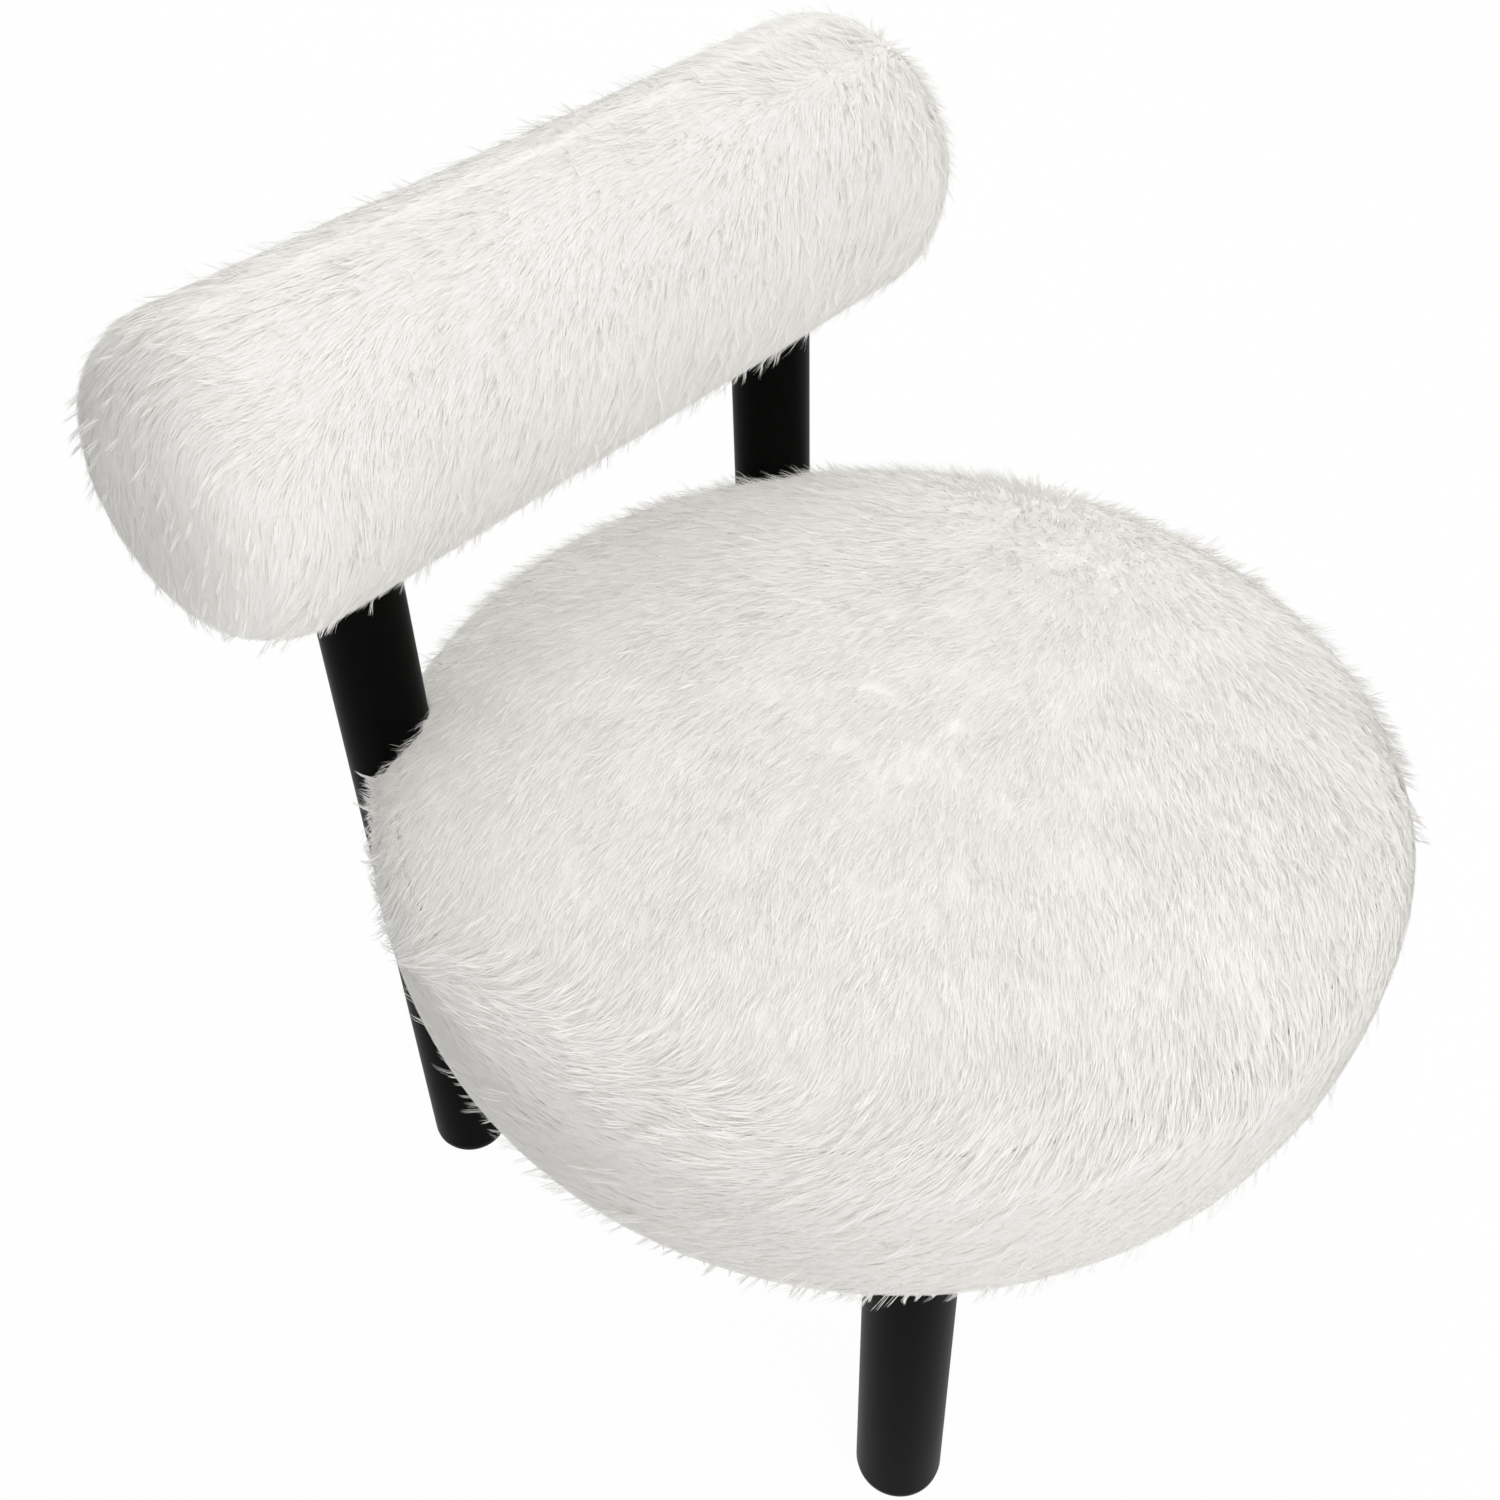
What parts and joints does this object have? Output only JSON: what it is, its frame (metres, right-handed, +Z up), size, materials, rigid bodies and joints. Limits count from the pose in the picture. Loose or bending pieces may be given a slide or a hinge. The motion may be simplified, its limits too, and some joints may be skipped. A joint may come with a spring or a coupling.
{
  "type": "upholstered lounge chair",
  "caption": "Fixed lounge chair with a thick round furred seat, a furred bolster back and straight round black legs.",
  "frame": {"origin": "on the floor, under the middle of the chair's width and depth", "axes": "+Z up, +Y towards the bolster back, +X to the sitter's left when seated"},
  "size_m": [0.63, 0.6575, 0.7309],
  "materials": {
    "black_lacquer": "satin black lacquer on turned beech",
    "furred_cover": "off-white long-pile faux fur on a knitted backing",
    "plywood": "birch plywood, sanded",
    "beech": "planed beech",
    "zinc": "zinc-plated steel",
    "brass": "turned brass",
    "nylon": "black nylon",
    "foam": "open-cell polyurethane foam",
    "wadding": "bonded polyester wadding",
    "webbing": "woven elastic webbing",
    "dust_cloth": "black non-woven cloth",
    "paperboard": "spirally wound paperboard"
  },
  "bodies": {
    "root": {"front_leg_left": "black_lacquer", "front_leg_right": "black_lacquer", "rear_post_left": "black_lacquer", "rear_post_right": "black_lacquer", "foot_glides": "nylon", "leg_hanger_bolts": "zinc", "leg_tee_nuts": "zinc", "base_board": "plywood", "frame_struts": "beech", "post_block_left": "beech", "post_block_right": "beech", "top_ring": "plywood", "rim_band": "plywood", "webbing_front_to_back": "webbing", "webbing_side_to_side": "webbing", "webbing_staples": "zinc", "frame_screws": "zinc", "post_bolts": "zinc", "post_bolt_washers": "zinc", "post_inserts": "brass", "seat_foam": "foam", "side_foam": "foam", "seat_wadding": "wadding", "seat_cover_top": "furred_cover", "seat_cover_band": "furred_cover", "dust_cover": "dust_cloth", "hem_staples": "zinc", "bolster_tube": "paperboard", "bolster_socket_left": "beech", "bolster_socket_right": "beech", "bolster_end_disc_left": "plywood", "bolster_end_disc_right": "plywood", "bolster_lock_screws": "zinc", "bolster_foam": "foam", "bolster_end_pad_left": "foam", "bolster_end_pad_right": "foam", "bolster_wadding": "wadding", "bolster_cover_body": "furred_cover", "bolster_cover_end_left": "furred_cover", "bolster_cover_end_right": "furred_cover"}
  },
  "joints": []
}
